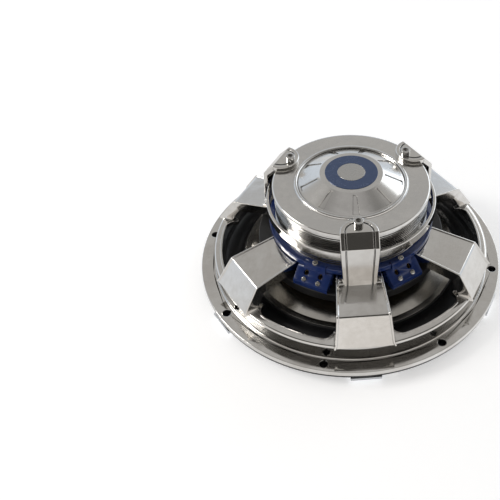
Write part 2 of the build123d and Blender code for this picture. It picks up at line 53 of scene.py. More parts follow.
def softCorners(corners, closed=False):
    # Straights joined by arcs; each corner is (radius, height, fillet).
    # Support points beside each arc keep the flats flat under smooth shading.
    points = [np.array(c[:2], float) for c in corners]
    count = len(points)
    out = []
    for i in range(count):
        fillet = corners[i][2]
        if fillet <= 0 or (not closed and i in (0, count - 1)):
            out.append(points[i])
            continue
        before = points[i - 1] - points[i]
        after = points[(i + 1) % count] - points[i]
        lengths = np.linalg.norm(before), np.linalg.norm(after)
        before, after = before / lengths[0], after / lengths[1]
        inside = math.acos(float(np.clip(before @ after, -1, 1)))
        turn = math.pi - inside
        if turn < 0.02 or inside < 0.02:
            out.append(points[i])
            continue
        trim = min(fillet * math.tan(turn / 2), 0.42 * lengths[0], 0.42 * lengths[1])
        radius = trim / math.tan(turn / 2)
        middle = (before + after) / np.linalg.norm(before + after)
        middle = points[i] + middle * radius / math.sin(inside / 2)
        first, last = points[i] + before * trim - middle, points[i] + after * trim - middle
        steps = max(2, math.ceil(turn / 0.36))
        if lengths[0] > 3.2 * trim:
            out.append(points[i] + before * min(1.45 * trim, 0.46 * lengths[0]))
        for k in range(steps + 1):
            f = k / steps
            blend = math.sin((1 - f) * turn) * first + math.sin(f * turn) * last
            out.append(middle + blend / math.sin(turn))
        if lengths[1] > 3.2 * trim:
            out.append(points[i] + after * min(1.45 * trim, 0.46 * lengths[1]))
    return np.array(out)


def gridFaces(rows, columns, closeRows, closeColumns):
    # Quads between neighbouring points of a grid, each direction open or closed on itself.
    i = np.arange(rows if closeRows else rows - 1)[:, None]
    j = np.arange(columns if closeColumns else columns - 1)[None, :]
    nextRow, nextColumn = (i + 1) % rows, (j + 1) % columns
    corners = [i * columns + j, i * columns + nextColumn]
    corners += [nextRow * columns + nextColumn, nextRow * columns + j]
    return np.stack(np.broadcast_arrays(*corners), -1).reshape(-1, 4).tolist()


def gridShell(points, closeRows=False, closeColumns=False):
    rows, columns = points.shape[:2]
    return points.reshape(-1, 3), gridFaces(rows, columns, closeRows, closeColumns)


def endCap(loop):
    return loop.reshape(-1, 3), [list(range(len(loop)))]


def turnedGrid(outline, count):
    # x = r cos a, y = r sin a, z = height, for every outline point and angle a.
    a = np.arange(count) * 2 * math.pi / count
    r, z = outline[:, :1], outline[:, 1:2]
    return np.stack([r * np.cos(a), r * np.sin(a), z + 0 * a], -1)


def turnedShell(corners, count=240, closed=True):
    return gridShell(turnedGrid(softCorners(corners, closed), count), closed, True)


def placed(points, angle, r=0.0, t=0.0, z=0.0):
    # Local (outward, sideways, up) coordinates set at a radius and turned to an angle round Z.
    c, s = math.cos(math.radians(angle)), math.sin(math.radians(angle))
    x, y = points[..., 0] + r, points[..., 1] + t
    return np.stack([x * c - y * s, x * s + y * c, points[..., 2] + z], -1)


def meshPiece(name, shells, sharpAngle=33):
    vertices, faces, base = [], [], 0
    for points, polygons in shells:
        vertices.append(points)
        faces += [[base + i for i in polygon] for polygon in polygons]
        base += len(points)
    mesh = bpy.data.meshes.new(name)
    mesh.from_pydata((np.concatenate(vertices) * mm).tolist(), [], faces)
    work = bmesh.new()
    work.from_mesh(mesh)
    bmesh.ops.remove_doubles(work, verts=work.verts, dist=3e-6)
    bmesh.ops.recalc_face_normals(work, faces=work.faces)
    work.to_mesh(mesh)
    work.free()
    mesh.shade_smooth()
    mesh.set_sharp_from_angle(angle=math.radians(sharpAngle))
    piece = bpy.data.objects.new(name, mesh)
    bpy.context.scene.collection.objects.link(piece)
    return piece


def settle(piece, nodes, slotName, body="frame"):
    piece.data.materials.clear()
    piece.data.materials.append(finishes[slotName])
    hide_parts(*nodes)
    if body:
        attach(piece, body)
    return piece


def carried(name, node, slotName, bevel, body="frame", segments=3):
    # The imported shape, merged and with its edges rounded.
    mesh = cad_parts[node].data.copy()
    mesh.name = name
    work = bmesh.new()
    work.from_mesh(mesh)
    bmesh.ops.remove_doubles(work, verts=work.verts, dist=2e-6)
    bmesh.ops.dissolve_limit(
        work, angle_limit=math.radians(0.5), verts=work.verts, edges=work.edges
    )
    bmesh.ops.recalc_face_normals(work, faces=work.faces)
    work.to_mesh(mesh)
    work.free()
    mesh.shade_smooth()
    piece = bpy.data.objects.new(name, mesh)
    bpy.context.scene.collection.objects.link(piece)
    rounding = piece.modifiers.new("rounding", "BEVEL")
    rounding.width = bevel * mm
    rounding.segments = segments
    rounding.limit_method = "ANGLE"
    rounding.angle_limit = math.radians(32)
    rounding.harden_normals = True
    return settle(piece, [node], slotName, body)


# Shader helpers.


def addNode(tree, kind, inputs=None, **settings):
    node = tree.nodes.new(kind)
    for key, value in settings.items():
        setattr(node, key, value)
    for key, value in (inputs or {}).items():
        if hasattr(value, "is_linked"):
            tree.links.new(value, node.inputs[key])
        else:
            node.inputs[key].default_value = value
    return node


def maths(tree, operation, a, b):
    return addNode(tree, "ShaderNodeMath", {0: a, 1: b}, operation=operation).outputs[0]


def newGroup(name, inputs, outputs):
    group = bpy.data.node_groups.new(name, "ShaderNodeTree")
    for label, kind, value in inputs:
        socket = group.interface.new_socket(label, in_out="INPUT", socket_type="NodeSocket" + kind)
        if value is not None:
            socket.default_value = value
    for label, kind in outputs:
        group.interface.new_socket(label, in_out="OUTPUT", socket_type="NodeSocket" + kind)
    return group, group.nodes.new("NodeGroupInput"), group.nodes.new("NodeGroupOutput")


def smudgeGroup():
    # Wipe marks and thin film: broad cloudy noise times a finer streaky one, 0 to 1.
    group, source, sink = newGroup(
        "smudges", [("Vector", "Vector", None), ("Scale", "Float", 20.0)], [("Mask", "Float")]
    )
    broad = addNode(
        group,
        "ShaderNodeTexNoise",
        {"Vector": source.outputs["Vector"], "Scale": source.outputs["Scale"], "Detail": 5.0,
         "Roughness": 0.62, "Distortion": 0.8},
    )
    fineScale = maths(group, "MULTIPLY", source.outputs["Scale"], 7.3)
    fine = addNode(
        group,
        "ShaderNodeTexNoise",
        {"Vector": source.outputs["Vector"], "Scale": fineScale, "Detail": 3.0, "Roughness": 0.6},
    )
    total = maths(group, "ADD", broad.outputs[0], maths(group, "MULTIPLY", fine.outputs[0], 0.35))
    ramp = addNode(
        group, "ShaderNodeMapRange", {"Value": total, "From Min": 0.48, "From Max": 0.88},
        interpolation_type="SMOOTHSTEP",
    )
    group.links.new(ramp.outputs[0], sink.inputs["Mask"])
    return group


def turningGroup():
    # Lines left by turning or spinning: noise read along radius and height only.
    group, source, sink = newGroup(
        "turningLines",
        [("Vector", "Vector", None), ("Pitch", "Float", 1400.0)],
        [("Height", "Float"), ("Tangent", "Vector")],
    )
    parts = addNode(group, "ShaderNodeSeparateXYZ", {0: source.outputs["Vector"]})
    x, y, z = parts.outputs
    across = addNode(group, "ShaderNodeCombineXYZ", {"X": x, "Y": y})
    radius = addNode(group, "ShaderNodeVectorMath", {0: across.outputs[0]}, operation="LENGTH")
    spot = addNode(group, "ShaderNodeCombineXYZ", {"X": radius.outputs["Value"], "Y": z})
    lines = addNode(
        group,
        "ShaderNodeTexNoise",
        {"Vector": spot.outputs[0], "Scale": source.outputs["Pitch"], "Detail": 3.0,
         "Roughness": 0.7},
    )
    group.links.new(lines.outputs[0], sink.inputs["Height"])
    minusY = maths(group, "MULTIPLY", y, -1.0)
    round_ = addNode(group, "ShaderNodeCombineXYZ", {"X": minusY, "Y": x})
    unit = addNode(group, "ShaderNodeVectorMath", {0: round_.outputs[0]}, operation="NORMALIZE")
    group.links.new(unit.outputs[0], sink.inputs["Tangent"])
    return group


def castGroup():
    # Slow waviness of a cast or pressed surface under its plating, with small pits.
    group, source, sink = newGroup(
        "castSkin",
        [("Vector", "Vector", None), ("Wave", "Float", 45.0), ("Pits", "Float", 0.1)],
        [("Height", "Float")],
    )
    wave = addNode(
        group,
        "ShaderNodeTexNoise",
        {"Vector": source.outputs["Vector"], "Scale": source.outputs["Wave"], "Detail": 2.0,
         "Roughness": 0.45},
    )
    pits = addNode(
        group,
        "ShaderNodeTexNoise",
        {"Vector": source.outputs["Vector"], "Scale": 900.0, "Detail": 2.0, "Roughness": 0.6},
    )
    small = maths(group, "MULTIPLY", pits.outputs[0], source.outputs["Pits"])
    total = maths(group, "ADD", wave.outputs[0], small)
    group.links.new(total, sink.inputs["Height"])
    return group


sharedGroups = {"smudges": smudgeGroup(), "turning": turningGroup(), "cast": castGroup()}


def useGroup(tree, name, **inputs):
    node = tree.nodes.new("ShaderNodeGroup")
    node.node_tree = sharedGroups[name]
    for key, value in inputs.items():
        if hasattr(value, "is_linked"):
            tree.links.new(value, node.inputs[key])
        else:
            node.inputs[key].default_value = value
    return node


def finish(name, look):
    # One Principled surface; look holds what a user would change.
    material = bpy.data.materials.new(name)
    material.use_nodes = True
    tree = material.node_tree
    surface = tree.nodes["Principled BSDF"]
    surface.inputs["Metallic"].default_value = look.get("metallic", 0.0)
    surface.inputs["IOR"].default_value = look.get("ior", 1.45)
    surface.inputs["Coat Weight"].default_value = look.get("coat", 0.0)
    surface.inputs["Coat Roughness"].default_value = look.get("coatRoughness", 0.05)
    surface.inputs["Sheen Weight"].default_value = look.get("sheen", 0.0)
    surface.inputs["Subsurface Weight"].default_value = look.get("soft", 0.0)
    surface.inputs["Subsurface Scale"].default_value = 0.002
    surface.inputs["Transmission Weight"].default_value = look.get("clear", 0.0)
    place = addNode(tree, "ShaderNodeTexCoord").outputs["Object"]
    film = useGroup(tree, "smudges", Vector=place, Scale=look.get("smudgeScale", 22.0))
    smudge = film.outputs["Mask"]
    rough = addNode(
        tree, "ShaderNodeMapRange",
        {"Value": smudge, "To Min": look["roughness"][0], "To Max": look["roughness"][1]},
    )
    tree.links.new(rough.outputs[0], surface.inputs["Roughness"])
    tint = addNode(tree, "ShaderNodeMix", {"Factor": smudge}, data_type="RGBA")
    tint.inputs[6].default_value = (*look["colour"], 1.0)
    tint.inputs[7].default_value = (*look["worn"], 1.0)
    colour = tint.outputs[2]
    if "paintedShadeReach" in look:
        # Painted shade: ambient occlusion darkens the base colour in grooves and inner corners, out
        # to the given reach in mm.
        open_ = addNode(tree, "ShaderNodeAmbientOcclusion", {"Distance": look["paintedShadeReach"] * mm},
                        samples=6, only_local=True).outputs["AO"]
        shade = addNode(
            tree, "ShaderNodeMapRange",
            {"Value": open_, "From Min": 0.25, "From Max": 0.85, "To Min": look["paintedShadeMin"]},
        )
        dim = addNode(
            tree, "ShaderNodeMix", {"Factor": 1.0}, data_type="RGBA", blend_type="MULTIPLY"
        )
        tree.links.new(colour, dim.inputs[6])
        tree.links.new(shade.outputs[0], dim.inputs[7])
        colour = dim.outputs[2]
    tree.links.new(colour, surface.inputs["Base Color"])
    normal = None
    if "turning" in look:
        lines = useGroup(tree, "turning", Vector=place, Pitch=look["turning"])
        normal = addNode(
            tree, "ShaderNodeBump",
            {"Height": lines.outputs["Height"], "Strength": look["turningDepth"],
             "Distance": 0.05 * mm},
        ).outputs[0]
        if "anisotropy" in look:
            surface.inputs["Anisotropic"].default_value = look["anisotropy"]
            tree.links.new(lines.outputs["Tangent"], surface.inputs["Tangent"])
    if "cast" in look:
        skin = useGroup(tree, "cast", Vector=place, Wave=look["cast"], Pits=look.get("pits", 0.02))
        bump = addNode(
            tree, "ShaderNodeBump",
            {"Height": skin.outputs["Height"], "Strength": look["castDepth"], "Distance": 0.4 * mm},
        )
        if normal is not None:
            tree.links.new(normal, bump.inputs["Normal"])
        normal = bump.outputs[0]
    if normal is not None:
        tree.links.new(normal, surface.inputs["Normal"])
    return material


looks = {
    # Entries with an occlusion reach and a darkest factor get painted shade in their grooves and
    # inner corners.
    "plated_casting": {"metallic": 1.0, "colour": (0.80, 0.79, 0.77), "worn": (0.70, 0.68, 0.65),
                       "roughness": (0.06, 0.17), "cast": 60.0, "castDepth": 0.12, "pits": 0.01,
                       "paintedShadeReach": 2.2, "paintedShadeMin": 0.12},
    "plated_cover": {"metallic": 1.0, "colour": (0.80, 0.79, 0.77), "worn": (0.70, 0.69, 0.67),
                     "roughness": (0.10, 0.22), "turning": 2600.0, "turningDepth": 0.12,
                     "paintedShadeReach": 1.6, "paintedShadeMin": 0.10},
    "plated_steel": {"metallic": 1.0, "colour": (0.50, 0.50, 0.50), "worn": (0.36, 0.35, 0.34),
                     "roughness": (0.28, 0.45), "turning": 1800.0, "turningDepth": 0.3},
    "bright_screw": {"metallic": 1.0, "colour": (0.76, 0.75, 0.74), "worn": (0.58, 0.57, 0.55),
                     "roughness": (0.10, 0.22), "smudgeScale": 180.0, "cast": 300.0,
                     "castDepth": 0.06},
    "satin_clip": {"metallic": 0.9, "colour": (0.62, 0.64, 0.67), "worn": (0.59, 0.61, 0.64),
                   "roughness": (0.27, 0.33), "smudgeScale": 60.0, "cast": 300.0, "castDepth": 0.03,
                   "pits": 0.3, "paintedShadeReach": 2.0, "paintedShadeMin": 0.4},
    "gloss_black": {"colour": (0.006, 0.0065, 0.008), "worn": (0.012, 0.012, 0.013),
                    "roughness": (0.07, 0.16), "cast": 90.0, "castDepth": 0.05},
    "spun_aluminium": {"metallic": 1.0, "colour": (0.47, 0.44, 0.405), "worn": (0.45, 0.42, 0.385),
                       "roughness": (0.28, 0.31), "turning": 1500.0, "turningDepth": 0.6,
                       "anisotropy": 0.9},
    "cone_metal": {"metallic": 1.0, "colour": (0.60, 0.58, 0.54), "worn": (0.48, 0.46, 0.43),
                   "roughness": (0.14, 0.26), "turning": 900.0, "turningDepth": 0.12},
    "surround_rubber": {"colour": (0.011, 0.011, 0.0125), "worn": (0.018, 0.018, 0.019),
                        "roughness": (0.34, 0.5), "sheen": 0.06, "cast": 400.0, "castDepth": 0.10,
                        "pits": 0.6},
    "spider_cloth": {"colour": (0.09, 0.072, 0.045), "worn": (0.06, 0.048, 0.03),
                     "roughness": (0.75, 0.9), "sheen": 0.2, "cast": 1600.0, "castDepth": 0.4,
                     "pits": 1.0},
    "black_plastic": {"colour": (0.010, 0.010, 0.011), "worn": (0.020, 0.020, 0.020),
                      "roughness": (0.30, 0.45), "cast": 700.0, "castDepth": 0.12, "pits": 0.6},
    "magnet_ferrite": {"colour": (0.030, 0.029, 0.030), "worn": (0.055, 0.053, 0.05),
                       "roughness": (0.55, 0.75), "cast": 900.0, "castDepth": 0.3, "pits": 1.0},
    "copper_wire": {"metallic": 1.0, "colour": (0.52, 0.17, 0.07), "worn": (0.36, 0.11, 0.05),
                    "roughness": (0.22, 0.35), "turning": 2500.0, "turningDepth": 0.9},
    "copper_sheet": {"metallic": 1.0, "colour": (0.72, 0.34, 0.19), "worn": (0.50, 0.22, 0.12),
                     "roughness": (0.2, 0.35), "turning": 1500.0, "turningDepth": 0.2},
    "former_film": {"colour": (0.16, 0.08, 0.02), "worn": (0.12, 0.06, 0.018),
                    "roughness": (0.25, 0.4), "cast": 400.0, "castDepth": 0.1},
    "blue_label": {"colour": (0.040, 0.075, 0.175), "worn": (0.055, 0.090, 0.19),
                   "roughness": (0.16, 0.3), "coat": 0.7, "metallic": 0.35, "smudgeScale": 90.0,
                   "cast": 500.0, "castDepth": 0.04},
    "silver_label": {"metallic": 1.0, "colour": (0.62, 0.61, 0.59), "worn": (0.54, 0.53, 0.51),
                     "roughness": (0.2, 0.32), "smudgeScale": 90.0, "turning": 1500.0,
                     "turningDepth": 0.15},
    "blue_plastic": {"colour": (0.010, 0.024, 0.105), "worn": (0.016, 0.033, 0.125),
                     "roughness": (0.10, 0.22), "ior": 1.5, "soft": 0.05, "coat": 0.4,
                     "smudgeScale": 90.0, "cast": 150.0, "castDepth": 0.06},
    "brass_contact": {"metallic": 1.0, "colour": (0.70, 0.50, 0.20), "worn": (0.52, 0.36, 0.14),
                      "roughness": (0.2, 0.35), "smudgeScale": 200.0, "cast": 500.0,
                      "castDepth": 0.08},
}
finishes = {name: finish(name, look) for name, look in looks.items()}
print("finishes made")

# Basket: flange with its holes, drum, window sill, six channel straps and the motor hub.

front = -90.0
basket = {
    "angles": 720,
    "holeRadius": 3.5, "holeCircle": 126.0, "holes": 8, "firstHole": 30.0,
    "patchInner": 122.45, "patchOuter": 131.0,
    "flangeFront": 9.0, "flangeRear": 13.5,
    "sillInner": 113.0, "sillTop": 29.0, "cornerRadius": 8.0, "cornerAngle": 17.0,
}


def windowEdge(angles):
    # Inner edge of the sill: plain circle, pulled in along a small arc beside each strap.
    reach = basket["sillInner"] - basket["cornerRadius"]
    off = np.abs((np.degrees(angles) - front + 30.0) % 60.0 - 30.0)
    delta = np.radians(basket["cornerAngle"] - off)
    inside = np.clip((reach * np.cos(delta)) ** 2 - reach**2 + basket["cornerRadius"] ** 2, 0, None)
    curve = reach * np.cos(delta) + np.sqrt(inside)
    tangent = math.degrees(math.asin(basket["cornerRadius"] / reach))
    lowest = math.sqrt(reach**2 - basket["cornerRadius"] ** 2)
    curve = np.where(off < basket["cornerAngle"] - tangent, lowest, curve)
    behind = np.clip((off - 9.6) / 1.2, 0, 1)
    curve = basket["sillInner"] + (curve - basket["sillInner"]) * behind
    return np.where(off < basket["cornerAngle"], curve, basket["sillInner"])


def holePatch(centre, height):
    # Flat sector of the flange round one hole: rings that go from the hole to the sector's edge.
    half = 180.0 / basket["holes"]
    steps = basket["angles"] // basket["holes"]
    a = np.radians(centre + np.linspace(-half, half, steps + 1))
    inner = np.stack([basket["patchInner"] * np.cos(a), basket["patchInner"] * np.sin(a)], -1)
    outer = np.stack([basket["patchOuter"] * np.cos(a), basket["patchOuter"] * np.sin(a)], -1)
    share = np.linspace(0, 1, 6)[1:-1, None]
    sideA = inner[-1] + (outer[-1] - inner[-1]) * share
    sideB = outer[0] + (inner[0] - outer[0]) * share
    loop = np.concatenate([inner, sideA, outer[::-1], sideB])
    centre = math.radians(centre)
    middle = basket["holeCircle"] * np.array([math.cos(centre), math.sin(centre)])
    toward = loop - middle
    toward /= np.linalg.norm(toward, axis=1, keepdims=True)
    rings = []
    for share, drop in holeRings(height):
        rim = middle + toward * (basket["holeRadius"] + drop[0])
        points = rim + (loop - rim) * share
        rings.append(np.concatenate([points, np.full((len(points), 1), drop[1])], 1))
    return gridShell(np.array(rings), False, True)


def holeRings(height):
    # Share of the way out to the sector's edge, then radius past the hole and height, ring by ring.
    if height > 10:
        return [(1, (0, 13.5)), (0.5, (0.5, 13.5)), (0, (0.55, 13.5)), (0, (0.35, 13.5)),
                (0, (0.1, 13.4)), (0, (0, 13.15)), (0, (0, 12.9)), (0, (0, 11.5))]
    return [(1, (0, 9.0)), (0, (2.6, 9.0)), (0, (2.5, 9.0)), (0, (0, 11.3)), (0, (0, 11.5))]


def basketRing():
    b = basket
    outer = softCorners(
        [(b["patchOuter"], b["flangeRear"], 0),
         (132.5, b["flangeRear"], 1.1), (132.5, b["flangeFront"], 0.6),
         (b["patchOuter"], b["flangeFront"], 0)]
    )
    wall = softCorners(
        [(b["patchInner"], b["flangeRear"], 0), (120.0, b["flangeRear"], 3.2),
         (119.9, b["sillTop"], 2.6), (114.9, b["sillTop"], 0.25), (114.5, b["sillTop"] + 0.45, 0.3),
         (113.0, b["sillTop"] + 0.45, 0.5), (113.0, 25.5, 0.4), (115.5, 24.6, 0),
         (115.5, 12.0, 0), (122.0, 12.0, 0), (122.0, b["flangeFront"], 0),
         (b["patchInner"], b["flangeFront"], 0)]
    )
    shells = [gridShell(turnedGrid(outer, b["angles"]), False, True)]
    a = np.arange(b["angles"]) * 2 * math.pi / b["angles"]
    r = np.repeat(wall[:, :1], b["angles"], 1)
    moving = np.clip((116.0 - r) / 1.1, 0, 1) * (wall[:, 1:2] > 24.9)
    r = r + moving * (windowEdge(a) - b["sillInner"])
    grid = np.stack([r * np.cos(a), r * np.sin(a), wall[:, 1:2] + 0 * r], -1)
    shells.append(gridShell(grid, False, True))
    for k in range(b["holes"]):
        centre = b["firstHole"] + 360.0 * k / b["holes"]
        shells += [holePatch(centre, b["flangeRear"]), holePatch(centre, b["flangeFront"])]
    return shells


def stations(outer, inner, fillets, spacing=3.0):
    # Points along a bent line and, for each, the matching point of the line below it.
    outer, inner = np.array(outer, float), np.array(inner, float)
    top, low = [outer[0]], [inner[0]]
    for i in range(1, len(outer)):
        last = i == len(outer) - 1
        arc = [outer[i]]
        if not last:
            corner = [(*outer[i - 1], 0), (*outer[i], fillets[i]), (*outer[i + 1], 0)]
            arc = list(softCorners(corner)[1:-1])
        start, end = top[-1], arc[0]
        count = max(1, round(float(np.linalg.norm(end - start)) / spacing))
        for k in range(1, count):
            top.append(start + (end - start) * k / count)
            low.append(inner[i - 1] + (inner[i] - inner[i - 1]) * k / count)
        top += arc
        low += [inner[i]] * len(arc)
    return np.array(top), np.array(low)


strap = {
    "line": [(119.7, 28.3), (105.75, 49.3), (61.0, 55.0)],
    "under": [(108.95, 27.0), (100.5, 40.8), (61.0, 46.5)],
    "kneeFillet": 3.0, "depth": 8.5,
    "halfWidth": [(61.0, 18.0), (105.75, 21.2), (120.0, 23.4)],
    "skin": 4.0, "wall": 3.2, "lipHeight": 0.9, "lipWidth": 1.7,
}


def strapShell(angle):
    # Channel section, carried from the sill over the knee to the hub.
    s = strap
    top, low = stations(s["line"], s["under"], [0, s["kneeFillet"], 0], 2.5)
    section = softCorners(
        [(-s["wall"] - 2, -s["skin"], 0), (-s["wall"], -s["skin"], 1.2),
         (-s["wall"], -s["depth"], 0.5), (0, -s["depth"], 0.5), (0, s["lipHeight"], 0.55),
         (-s["lipWidth"] + 0.5, s["lipHeight"], 0.4), (-s["lipWidth"] - 0.3, 0, 0.5),
         (-s["lipWidth"] - 2, 0, 0)]
    )
    # Offsets are from the half width; mirrored into a closed loop round the whole section.
    loop = np.concatenate([section, section[::-1]])
    sideOf = np.concatenate([np.ones(len(section)), -np.ones(len(section))])
    half = np.interp(top[:, 0], *np.array(s["halfWidth"]).T)[:, None]
    flare = np.clip((31.5 - top[:, 1:2]) / 3.5, 0, 1) ** 2 * 1.1
    t = sideOf * (half + flare + loop[:, 0])
    drop = -loop[:, 1] / s["depth"]
    r = top[:, :1] + (low[:, :1] - top[:, :1]) * drop
    z = top[:, 1:2] + (low[:, 1:2] - top[:, 1:2]) * drop
    grid = placed(np.stack([r, t, z], -1), angle)
    return [gridShell(grid, False, True), endCap(grid[0]), endCap(grid[-1])]


def hubShell():
    return turnedShell(
        [(57.0, 43.0, 0.5), (64.0, 43.0, 0.6), (64.0, 58.0, 1.0), (34.0, 58.0, 0.3),
         (34.0, 54.0, 0.3), (57.0, 54.0, 1.0)]
    )


shells = basketRing() + [hubShell()]
for k in range(6):
    shells += strapShell(front + 60.0 * k)
settle(meshPiece("basketShape", shells), ["basket"], "plated_casting")
print("basket made")

# Motor: finned cover, ridged and grooved cap, labels, clamp hoop.

motor = {
    "coverRadius": 64.4, "coverInner": 60.6, "coverLow": 58.0, "coverTop": 92.0,
    "fins": 15, "pitch": 1.9, "gap": 0.9, "finDepth": 1.5, "finChamfer": 0.16,
    "capRadius": 65.6, "capTop": 95.5, "capRound": 2.6,
    "ridge": 46.0, "ridgeRadius": 1.6, "coneFoot": 44.0, "coneTop": 26.0, "coneHeight": 105.0,
    "grooves": 9, "grooveDepth": 0.9,
}


def coverShape():
    m = motor
    corners = [(m["coverInner"], m["coverLow"], 0.2), (m["coverRadius"], m["coverLow"], 0.3)]
    z = m["coverTop"] - 1.6 - m["fins"] * m["pitch"]
    for _ in range(m["fins"]):
        deep = m["coverRadius"] - m["finDepth"]
        crown = m["coverRadius"] - m["finChamfer"]
        corners += [(m["coverRadius"], z - m["finChamfer"], 0), (crown, z, 0), (deep, z + 0.08, 0)]
        z += m["gap"]
        corners += [(deep, z - 0.08, 0), (crown, z, 0), (m["coverRadius"], z + m["finChamfer"], 0)]
        z -= m["gap"]
        z += m["pitch"]
    corners += [(m["coverRadius"], m["coverTop"], 0.3), (m["coverInner"], m["coverTop"], 0.2)]
    return meshPiece("magnetCoverShape", [turnedShell(corners, 300)], 30)


def capShape():
    m = motor
    slope = (m["coneHeight"] - m["capTop"]) / (m["coneFoot"] - m["coneTop"])
    cone = [(0, m["coneHeight"], 0), (m["coneTop"], m["coneHeight"], 0.8)]
    for r in (27.5, 27.75, 30.5, 33.5, 36.5, 39.5, 42.25, 42.5):
        cone.append((r, m["coneHeight"] - slope * (r - m["coneTop"]), 0))
    crest = [(m["ridge"] - m["ridgeRadius"], m["capTop"], 0)]
    for k in range(1, 10):
        a = math.pi * (1 - k / 10)
        crest.append((m["ridge"] + m["ridgeRadius"] * math.cos(a),
                      m["capTop"] + m["ridgeRadius"] * math.sin(a), 0))
    corners = cone + crest + [
        (m["ridge"] + m["ridgeRadius"] + 0.05, m["capTop"], 0.2),
        (m["capRadius"], m["capTop"], m["capRound"]), (m["capRadius"], 92.0, 0.2),
        (39.5, 92.0, 0.2), (25.0, 102.0, 0.2), (0, 102.0, 0)]
    outline = softCorners(corners)
    half = 180.0 / m["grooves"]
    # Columns stand on the groove walls, which open out from the axis.
    q = np.concatenate([np.linspace(-half, -3.9, 12), [-3.4, -3.1, -2.8], np.linspace(-2, 2, 5),
                        [2.8, 3.1, 3.4], np.linspace(3.9, half, 12)[:-1]])
    r = outline[:, :1]
    edge = np.degrees(np.arctan2(1.3 + (r - 26.5) * 0.1, np.maximum(r, 1.0)))
    warp = np.where((r > 26.4) & (r < 43.6) & (outline[:, 1:2] > m["capTop"]), edge / 3.25, 1.0)
    wall = 3.4
    near = np.abs(q) <= wall
    beyond = half - (half - np.abs(q)) * (half - wall * warp) / (half - wall)
    angle = np.where(near, q * warp, np.sign(q) * beyond)
    inside = (np.abs(q) <= 3.1) & (r > 27.6) & (r < 42.4) & (outline[:, 1:2] > m["capTop"])
    z = outline[:, 1:2] - m["grooveDepth"] * inside
    a = [np.radians(front + 2 * half * k + angle) for k in range(m["grooves"])]
    a = np.concatenate(a, 1)
    z = np.tile(z, (1, m["grooves"]))
    grid = np.stack([r * np.cos(a), r * np.sin(a), z], -1)
    return meshPiece("rearCapShape", [gridShell(grid, False, True)], 30)


settle(coverShape(), ["magnet_cover"], "plated_cover")
settle(capShape(), ["rear_cap"], "plated_cover")
label = turnedShell(
    [(11.5, 105.0, 0.05), (21.8, 105.0, 0.05), (21.8, 105.4, 0.15), (11.5, 105.4, 0.15)], 160)
settle(meshPiece("labelRingShape", [label]), ["label_ring"], "blue_label")
button = turnedShell(
    [(0, 105.0, 0), (11.2, 105.0, 0.05), (11.2, 105.4, 0.2), (0, 105.4, 0)], 120, False)
settle(meshPiece("labelDiscShape", [button]), ["label_disc"], "silver_label")
hoop = turnedShell(
    [(68.7, 73.0, 0.4), (71.2, 73.0, 0.6), (71.2, 81.0, 0.6), (68.7, 81.0, 0.4)], 300)
settle(meshPiece("clampHoopShape", [hoop]), ["clamp_hoop"], "plated_casting")
print("motor made")

# Clamp arms: flat lug with a round end, sloping shoulder and long leg, a groove inside the edge.

arm = {
    "archRadius": 65.55, "half": 15.2, "halfFoot": 13.9, "taperTop": 84.0, "taperFoot": 60.0,
    "line": [(65.55, 99.5), (66.0, 99.5), (75.2, 89.3), (77.6, 52.3)],
    "fillets": [0, 0.45, 0.9, 0], "skin": 4.0,
    "earRadius": 74.6, "earMiddle": 14.6, "earSize": (6.0, 5.2, 2.6), "earFillet": 0.5,
    "earLift": 0.75,
}


def offsetLine(points, distance):
    # Each straight moved inwards, neighbours meeting at a mitre.
    p = np.array(points, float)
    d = p[1:] - p[:-1]
    d /= np.linalg.norm(d, axis=1, keepdims=True)
    n = np.stack([d[:, 1], -d[:, 0]], -1)
    out = [p[0] + n[0] * distance]
    for i in range(1, len(p) - 1):
        half = n[i - 1] + n[i]
        out.append(p[i] + half * distance * 2 / (half @ half))
    return out + [p[-1] + n[-1] * distance]


def armShell(angle):
    a = arm
    section = softCorners(
        [(15.2, 0, 0), (4.95, 0, 0.25), (4.7, -1.3, 0.2), (3.8, -1.3, 0.2), (3.5, 0, 0.3),
         (0, 0, 0.9), (0, -4, 0.5), (15.2, -4, 0)]
    )
    inset, drop = section[:, 0], -section[:, 1] / a["skin"]
    top, low = stations(a["line"], offsetLine(a["line"], a["skin"]), a["fillets"], 4.0)
    taper = [a["taperFoot"], a["taperTop"]]
    half = np.interp(top[:, 1], taper, [a["halfFoot"], a["half"]])[:, None]
    r = top[:, :1] + (low[:, :1] - top[:, :1]) * drop
    z = top[:, 1:2] + (low[:, 1:2] - top[:, 1:2]) * drop
    t = half * (1 - inset / a["half"]) + 0 * r
    side = np.stack([r, t, z], -1)
    other = side * np.array([1, -1, 1])
    phi = np.radians(np.linspace(90, 270, 49))[1:-1, None]
    reach = a["half"] - inset
    arch = np.stack([a["archRadius"] + reach * np.cos(phi), reach * np.sin(phi),
                     99.5 + section[:, 1] + 0 * phi], -1)
    grid = np.concatenate([side[::-1], arch, other])
    return gridShell(placed(grid, angle), True, False)


def roundedBox(size, fillet, steps=3):
    # Six faces blown out from a cube: a point is an inner box's corner plus a unit normal times
    # the fillet.
    n = 2 * steps + 2
    ramp = np.concatenate([np.linspace(-1, 0, steps + 1), np.linspace(0, 1, steps + 1)])
    sign = np.concatenate([-np.ones(steps + 1), np.ones(steps + 1)])
    inner = np.maximum(np.array(size) / 2 - fillet, 0.0)
    shells = []
    for axis in range(3):
        for s in (-1, 1):
            u, v = np.meshgrid(range(n), range(n), indexing="ij")
            tanU, tanV = np.tan(ramp[u] * math.pi / 4), np.tan(ramp[v] * math.pi / 4)
            direction = np.stack([np.full(u.shape, float(s)), tanU, tanV], -1)
            direction /= np.linalg.norm(direction, axis=-1, keepdims=True)
            base = np.stack([np.full(u.shape, float(s)), sign[u], sign[v]], -1)
            order = [(0, 1, 2), (2, 0, 1), (1, 2, 0)][axis]
            direction, base = direction[..., order], base[..., order]
            shells.append(gridShell(base * inner + direction * fillet))
    return shells


